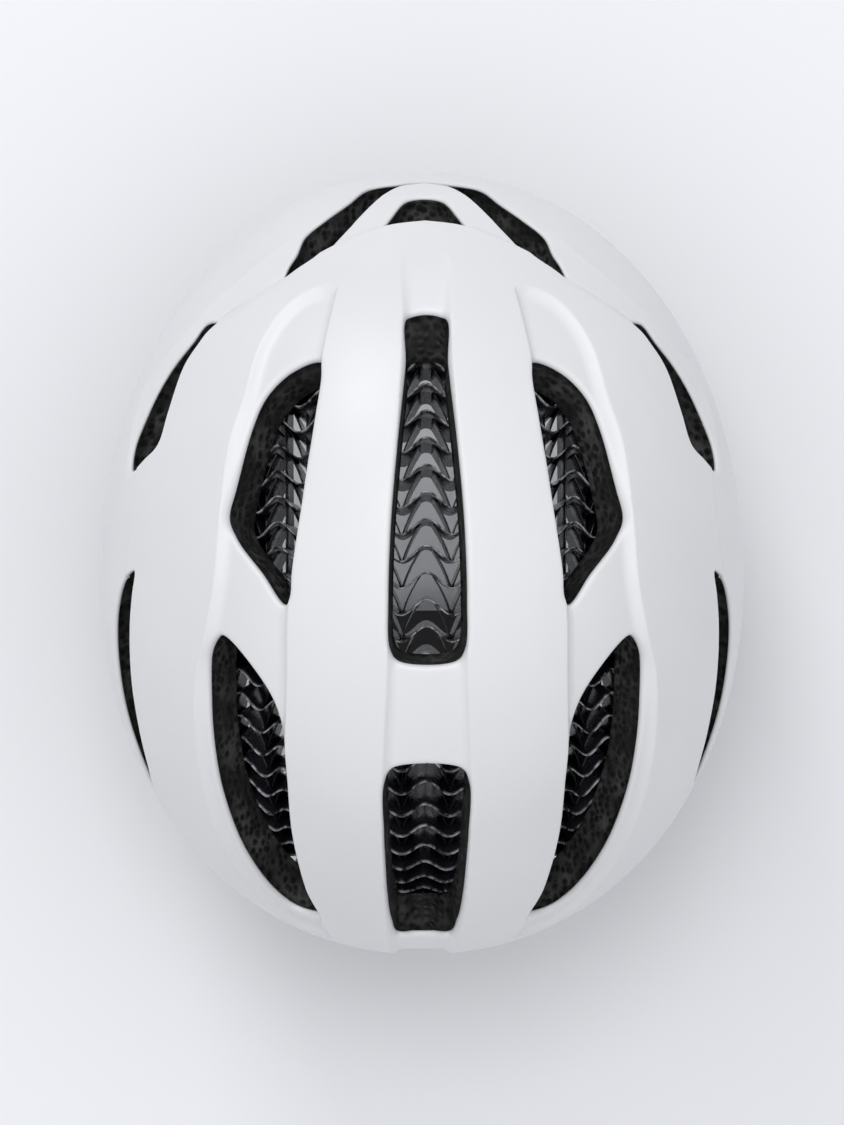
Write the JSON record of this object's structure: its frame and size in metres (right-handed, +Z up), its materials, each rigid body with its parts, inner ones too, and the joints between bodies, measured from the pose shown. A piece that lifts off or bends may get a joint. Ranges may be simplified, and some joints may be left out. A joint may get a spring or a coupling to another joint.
{
  "type": "cycling helmet",
  "caption": "Road cycling helmet with a satin white in-mould shell, long vents over a cellular wave liner, dial fit system, chin straps and side-release buckle.",
  "frame": {"origin": "on the brow plane, in the middle of the head opening", "axes": "+Z up through the crown, +Y towards the rear, +X towards the wearer's left"},
  "size_m": [0.2218, 0.2699, 0.2473],
  "materials": {
    "shell_white": "satin white polycarbonate",
    "liner_foam": "moulded black bead foam",
    "wave_polymer": "translucent smoke-black moulding",
    "pad_fabric": "black wicking knit",
    "hard_plastic": "fine-textured black nylon",
    "grip_rubber": "soft black rubber",
    "spring_steel": "bright",
    "webbing": "black woven polyester"
  },
  "bodies": {
    "helmet": {"outer_shell": "shell_white", "lower_shell": "shell_white", "foam_liner": "liner_foam", "wave_liner": "wave_polymer", "brow_pad": "pad_fabric", "crown_pads": "pad_fabric", "side_pad_right": "pad_fabric", "side_pad_left": "pad_fabric", "rear_pads": "pad_fabric", "height_rail": "hard_plastic", "temple_pins": "hard_plastic", "strap_anchors": "hard_plastic", "strap_front_right": "webbing", "strap_front_left": "webbing", "strap_rear_right": "webbing", "strap_rear_left": "webbing", "divider_right": "hard_plastic", "divider_left": "hard_plastic", "lever_pins": "spring_steel", "chin_strap_right": "webbing", "chin_pad": "pad_fabric", "buckle_socket": "hard_plastic"},
    "cradle": {"dial_housing": "hard_plastic", "housing_cover": "hard_plastic", "height_arm": "hard_plastic", "temple_guide_right": "hard_plastic", "temple_guide_left": "hard_plastic", "nape_pad": "pad_fabric", "detent_spring": "spring_steel"},
    "dial": {"dial_knob": "hard_plastic", "dial_grip": "grip_rubber", "pinion": "hard_plastic", "dial_screw": "spring_steel"},
    "right_belt": {"belt_right": "hard_plastic"},
    "left_belt": {"belt_left": "hard_plastic"},
    "right_lever": {"lever_right": "hard_plastic"},
    "left_lever": {"lever_left": "hard_plastic"},
    "keeper": {"strap_keeper": "grip_rubber"},
    "plug": {"buckle_plug": "hard_plastic", "chin_strap_left": "webbing"},
    "front_prong": {"prong_front": "hard_plastic"},
    "rear_prong": {"prong_rear": "hard_plastic"}
  },
  "joints": [
    {"name": "cradle_tilt", "type": "hinge", "parent": "helmet", "child": "cradle", "pos_m": [0, -0.01878, -0.00025], "axis": [1, 0, 0], "range_deg": [-5, 5]},
    {"name": "dial_turn", "type": "hinge", "parent": "cradle", "child": "dial", "pos_m": [0, 0.09069, -0.0401], "axis": [0, 0.9397, -0.342], "range_deg": [-130, 130]},
    {"name": "belt_right_slide", "type": "hinge", "parent": "cradle", "child": "right_belt", "pos_m": [0, 0.008, -0.01], "axis": [0, 0.342, 0.9397], "range_deg": [-7.95, 7.95]},
    {"name": "belt_left_slide", "type": "hinge", "parent": "cradle", "child": "left_belt", "pos_m": [0, 0.008, -0.01], "axis": [0, 0.342, 0.9397], "range_deg": [-7.95, 7.95]},
    {"name": "lever_right_flip", "type": "hinge", "parent": "helmet", "child": "right_lever", "pos_m": [-0.0806, -0.01, -0.057], "axis": [0, 1, 0], "range_deg": [0, 95]},
    {"name": "lever_left_flip", "type": "hinge", "parent": "helmet", "child": "left_lever", "pos_m": [0.0806, -0.01, -0.057], "axis": [0, -1, 0], "range_deg": [0, 95]},
    {"name": "keeper_slide", "type": "slide", "parent": "helmet", "child": "keeper", "axis": [0.4562, -0.3041, -0.8363], "range_m": [-0.006, 0.006]},
    {"name": "buckle_release", "type": "slide", "parent": "helmet", "child": "plug", "axis": [1, 0, 0], "range_m": [0, 0.028]},
    {"name": "prong_front_press", "type": "hinge", "parent": "plug", "child": "front_prong", "pos_m": [0.0185, -0.0372, -0.116], "axis": [0, 0, -1], "range_deg": [0, 8], "stiffness_Nm_per_rad": 0.05},
    {"name": "prong_rear_press", "type": "hinge", "parent": "plug", "child": "rear_prong", "pos_m": [0.0185, -0.0228, -0.116], "axis": [0, 0, 1], "range_deg": [0, 8], "stiffness_Nm_per_rad": 0.05}
  ],
  "couplings": [
    {"joint": "belt_right_slide", "follows": "dial_turn", "ratio": -0.060606},
    {"joint": "belt_left_slide", "follows": "dial_turn", "ratio": 0.060606}
  ]
}
